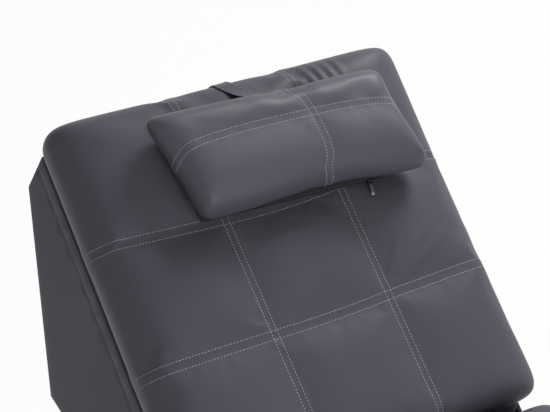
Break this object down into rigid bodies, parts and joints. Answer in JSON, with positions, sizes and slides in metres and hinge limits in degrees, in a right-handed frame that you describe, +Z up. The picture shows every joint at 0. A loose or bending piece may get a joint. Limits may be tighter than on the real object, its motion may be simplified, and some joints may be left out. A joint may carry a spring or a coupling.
{
  "type": "massage lounge chair",
  "caption": "Upholstered massage lounge chair with quilted back, seat and leg sections, hinged back and leg rest, strapped head pillow and vibration motors",
  "frame": {"origin": "on the floor, under the middle of the chair's bounding box", "axes": "+Z up, +Y towards the head end, +X to the right of someone looking from the foot end"},
  "size_m": [0.616, 1.6978, 0.8194],
  "materials": {
    "faux_leather": "satin, fine grain",
    "timber": "sawn pine",
    "plywood": "birch ply",
    "dust_cloth": "non-woven black",
    "zinc_steel": "zinc plated",
    "weight_steel": "turned",
    "frame_paint": "black powder coat",
    "leg_chrome": "bright",
    "black_plastic": "moulded",
    "board_green": "solder mask",
    "key_plastic": "moulded",
    "zip_metal": "dark plated"
  },
  "bodies": {
    "seat": {"body_floor": "plywood", "body_shell": "faux_leather", "chair_leg_front_left": "leg_chrome", "chair_leg_front_right": "leg_chrome", "chair_leg_rear_left": "leg_chrome", "chair_leg_rear_right": "leg_chrome", "control_bezel": "black_plastic", "control_board": "board_green", "control_box": "black_plastic", "floor_glides": "black_plastic", "frame_bolts": "zinc_steel", "hinge_pins": "zinc_steel", "power_inlet": "black_plastic", "rail_end_caps": "black_plastic", "seat_base_cover": "faux_leather", "seat_deck": "plywood", "seat_dust_cover": "dust_cloth", "seat_hinge_screws": "zinc_steel", "seat_legrest_arms": "zinc_steel", "seat_motor": "zinc_steel", "seat_motor_case": "black_plastic", "seat_pad": "faux_leather", "seat_recline_arms": "zinc_steel", "seat_timber_frame": "timber", "underframe_cross_tubes": "frame_paint", "underframe_rail_left": "frame_paint", "underframe_rail_right": "frame_paint"},
    "backrest": {"backrest_base_cover": "faux_leather", "backrest_deck": "plywood", "backrest_dust_cover": "dust_cloth", "backrest_hinge_arms": "zinc_steel", "backrest_hinge_screws": "zinc_steel", "backrest_motor_cases": "black_plastic", "backrest_motors": "zinc_steel", "backrest_pad": "faux_leather", "backrest_timber_frame": "timber", "pillow_strap": "faux_leather", "strap_patch": "dust_cloth"},
    "legrest": {"legrest_base_cover": "faux_leather", "legrest_deck": "plywood", "legrest_dust_cover": "dust_cloth", "legrest_hinge_arms": "zinc_steel", "legrest_hinge_screws": "zinc_steel", "legrest_motor": "zinc_steel", "legrest_motor_case": "black_plastic", "legrest_pad": "faux_leather", "legrest_timber_frame": "timber"},
    "pillow": {"pillow": "faux_leather", "zip_chain": "black_plastic"},
    "zip_slider": {"zip_slider": "zip_metal"},
    "zip_pull": {"zip_pull": "zip_metal"},
    "shoulder_weight": {"shoulder_weight": "weight_steel"},
    "lumbar_weight": {"lumbar_weight": "weight_steel"},
    "thigh_weight": {"thigh_weight": "weight_steel"},
    "calf_weight": {"calf_weight": "weight_steel"},
    "power_key": {"power_key": "key_plastic"},
    "mode_key": {"mode_key": "key_plastic"},
    "stronger_key": {"stronger_key": "key_plastic"},
    "weaker_key": {"weaker_key": "key_plastic"},
    "timer_key": {"timer_key": "key_plastic"}
  },
  "joints": [
    {"name": "back_recline", "type": "hinge", "parent": "seat", "child": "backrest", "pos_m": [0, 0.2586, 0.3013], "axis": [1, 0, 0], "range_deg": [0, 15]},
    {"name": "leg_raise", "type": "hinge", "parent": "seat", "child": "legrest", "pos_m": [0, -0.4234, 0.3013], "axis": [-1, 0, 0], "range_deg": [-6, 18]},
    {"name": "pillow_slide", "type": "slide", "parent": "backrest", "child": "pillow", "axis": [0, 0.7986, 0.6018], "range_m": [-0.12, 0.02], "deforming": ["pillow_strap"]},
    {"name": "zip_run", "type": "slide", "parent": "pillow", "child": "zip_slider", "axis": [0.9981, -0.0488, -0.0367], "range_m": [-0.27, 0.018]},
    {"name": "pull_flip", "type": "hinge", "parent": "zip_slider", "child": "zip_pull", "pos_m": [0.14429, 0.50161, 0.67011], "axis": [-0.9981, 0.0488, 0.0367], "range_deg": [0, 95]},
    {"name": "shoulder_spin", "type": "hinge", "parent": "backrest", "child": "shoulder_weight", "pos_m": [0, 0.62118, 0.56788], "axis": [1, 0, 0], "continuous": true},
    {"name": "lumbar_spin", "type": "hinge", "parent": "backrest", "child": "lumbar_weight", "pos_m": [0, 0.40555, 0.40539], "axis": [1, 0, 0], "continuous": true},
    {"name": "thigh_spin", "type": "hinge", "parent": "seat", "child": "thigh_weight", "pos_m": [0, -0.0714, 0.296], "axis": [1, 0, 0], "continuous": true},
    {"name": "calf_spin", "type": "hinge", "parent": "legrest", "child": "calf_weight", "pos_m": [0, -0.63099, 0.22828], "axis": [1, 0, 0], "continuous": true},
    {"name": "power_press", "type": "slide", "parent": "seat", "child": "power_key", "axis": [-1, 0, 0], "range_m": [0, 0.0015], "stiffness_N_per_m": 300, "springref_m": -0.001},
    {"name": "mode_press", "type": "slide", "parent": "seat", "child": "mode_key", "axis": [-1, 0, 0], "range_m": [0, 0.0015], "stiffness_N_per_m": 300, "springref_m": -0.001},
    {"name": "stronger_press", "type": "slide", "parent": "seat", "child": "stronger_key", "axis": [-1, 0, 0], "range_m": [0, 0.0015], "stiffness_N_per_m": 300, "springref_m": -0.001},
    {"name": "weaker_press", "type": "slide", "parent": "seat", "child": "weaker_key", "axis": [-1, 0, 0], "range_m": [0, 0.0015], "stiffness_N_per_m": 300, "springref_m": -0.001},
    {"name": "timer_press", "type": "slide", "parent": "seat", "child": "timer_key", "axis": [-1, 0, 0], "range_m": [0, 0.0015], "stiffness_N_per_m": 300, "springref_m": -0.001}
  ]
}
